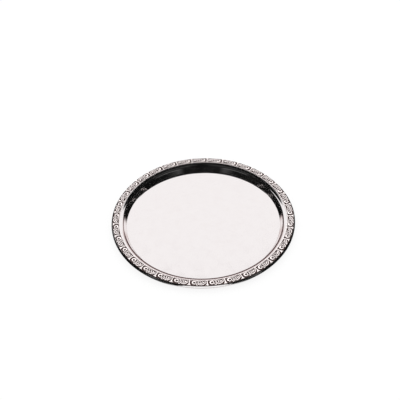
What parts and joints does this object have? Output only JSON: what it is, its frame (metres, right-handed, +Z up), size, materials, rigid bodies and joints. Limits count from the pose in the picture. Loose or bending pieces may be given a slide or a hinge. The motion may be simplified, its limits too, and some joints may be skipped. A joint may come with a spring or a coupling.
{
  "type": "offering plate",
  "caption": "Shallow round metal plate with a flat floor, steep low wall, smooth shoulder, wired edge and a raised scroll-and-leaf border applied round the rim.",
  "frame": {"origin": "centre of the plate's underside, on the surface it stands on", "axes": "+Z up through the plate's centre, square to the floor of the plate; +X and +Y lie in the resting plane, and one joint between border strips is at +X"},
  "size_m": [0.3048, 0.3048, 0.0137],
  "materials": {
    "polished_plate": "mirror-polished silver-coloured plating, faintly warm",
    "stamped_border": "bright plating on stamped relief, dark in the recesses",
    "drawn_wire": "plain drawn steel wire, hidden inside the rolled edge",
    "soft_solder": "dull grey soft solder, hidden under the border strips"
  },
  "bodies": {
    "root": {"pan": "polished_plate", "rim_wire": "drawn_wire", "border_strip_a": "stamped_border", "border_strip_b": "stamped_border", "border_strip_c": "stamped_border", "solder_fill_a": "soft_solder", "solder_fill_b": "soft_solder", "solder_fill_c": "soft_solder"}
  },
  "joints": []
}
